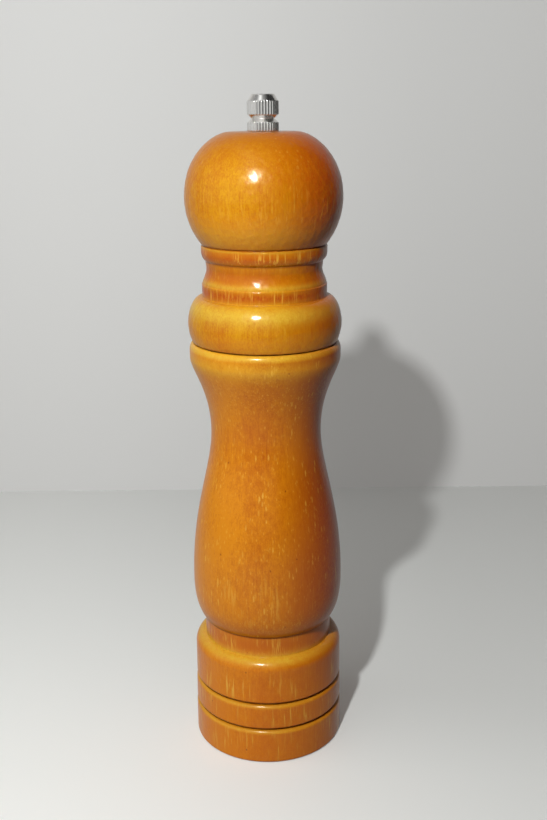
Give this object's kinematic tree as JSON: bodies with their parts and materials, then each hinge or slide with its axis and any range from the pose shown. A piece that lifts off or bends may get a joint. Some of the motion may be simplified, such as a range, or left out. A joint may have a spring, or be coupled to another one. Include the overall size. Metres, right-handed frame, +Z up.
{
  "type": "pepper mill",
  "caption": "Turned wooden pepper mill: a ball-topped head turns a ceramic burr set in the base through a square spindle, and a knurled metal nut on top sets the grind.",
  "frame": {"origin": "centre of the base, on the surface that the mill stands on", "axes": "+Z up along the mill's axis, which the head turns about; -Y is the side seen from the front"},
  "size_m": [0.05, 0.05, 0.215],
  "materials": {
    "stained_wood": "amber stain under gloss lacquer",
    "nickel": "bright nickel, knurled and polished",
    "spindle_steel": "drawn bar",
    "zinc_steel": "stamped and zinc plated",
    "spring_steel": "drawn wire",
    "burr_ceramic": "fired, unglazed",
    "black_plastic": "moulded",
    "brass": "turned"
  },
  "bodies": {
    "mill_body": {"body": "stained_wood", "mechanism_housing": "black_plastic", "housing_screws": "zinc_steel", "outer_burr": "burr_ceramic", "shaft_guide": "black_plastic", "guide_bush": "brass"},
    "spring_seat": {"spring_washer": "zinc_steel", "grinder_spring": "spring_steel"},
    "spindle_set": {"spindle": "spindle_steel", "burr_driver": "black_plastic", "inner_burr": "burr_ceramic", "burr_washer": "zinc_steel", "retaining_clip": "spring_steel"},
    "head_set": {"head": "stained_wood", "drive_plate": "zinc_steel", "drive_plate_screws": "zinc_steel"},
    "nut": {"adjusting_nut": "nickel"}
  },
  "joints": [
    {"name": "head_turn", "type": "hinge", "parent": "mill_body", "child": "spring_seat", "pos_m": [0, 0, 0.138], "axis": [0, 0, 1], "continuous": true},
    {"name": "grind_gap", "type": "slide", "parent": "spring_seat", "child": "spindle_set", "axis": [0, 0, 1], "range_m": [-0.0016, 0], "deforming": ["grinder_spring"]},
    {"name": "head_lift", "type": "slide", "parent": "spring_seat", "child": "head_set", "axis": [0, 0, 1], "range_m": [0, 0.1]},
    {"name": "nut_turn", "type": "hinge", "parent": "head_set", "child": "nut", "pos_m": [0, 0, 0.21], "axis": [0, 0, 1], "range_deg": [0, 720]}
  ],
  "couplings": [
    {"joint": "nut_turn", "follows": "grind_gap", "rad_per_m": -7854}
  ]
}
